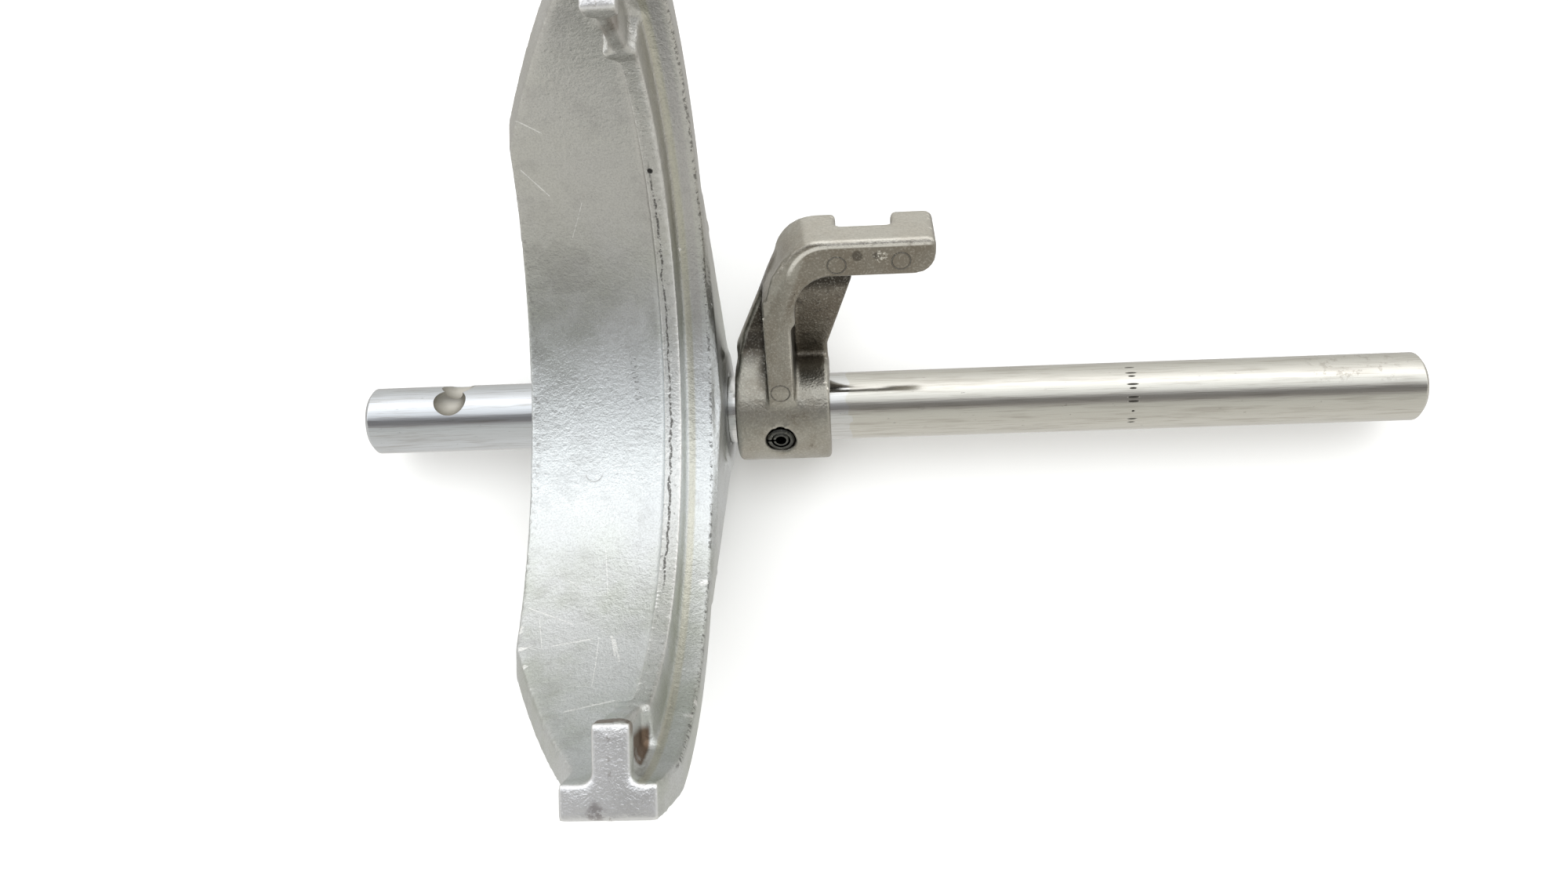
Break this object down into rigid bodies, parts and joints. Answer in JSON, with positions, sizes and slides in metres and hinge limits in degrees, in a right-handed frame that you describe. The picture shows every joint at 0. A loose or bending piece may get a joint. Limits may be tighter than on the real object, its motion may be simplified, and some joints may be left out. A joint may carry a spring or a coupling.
{
  "type": "gearbox shift rail with selector fork",
  "caption": "Round steel shift rail carrying a C-shaped cast selector fork and a cast shift bracket with a slotted arm, both pinned to the rail.",
  "frame": {"origin": "centre of the rail's flat end face next to the detent notches", "axes": "+X along the rail towards its long plain end, +Z towards the open side of the fork, +Y to the side the bracket's arm leans to"},
  "size_m": [0.3115, 0.1838, 0.1365],
  "materials": {
    "ground_steel": "ground and polished, with fine lengthwise marks and light handling stains",
    "cast_aluminium": "shot-blasted casting, satin, with one machined line along the ridge",
    "cast_steel": "sand-textured warm grey casting with worn bright edges",
    "spring_steel": "black oxide"
  },
  "bodies": {
    "root": {"shift_rail": "ground_steel", "shift_fork": "cast_aluminium", "shift_bracket": "cast_steel", "fork_pin_outer": "spring_steel", "fork_pin_inner": "spring_steel", "bracket_pin_outer": "spring_steel", "bracket_pin_inner": "spring_steel"}
  },
  "joints": []
}
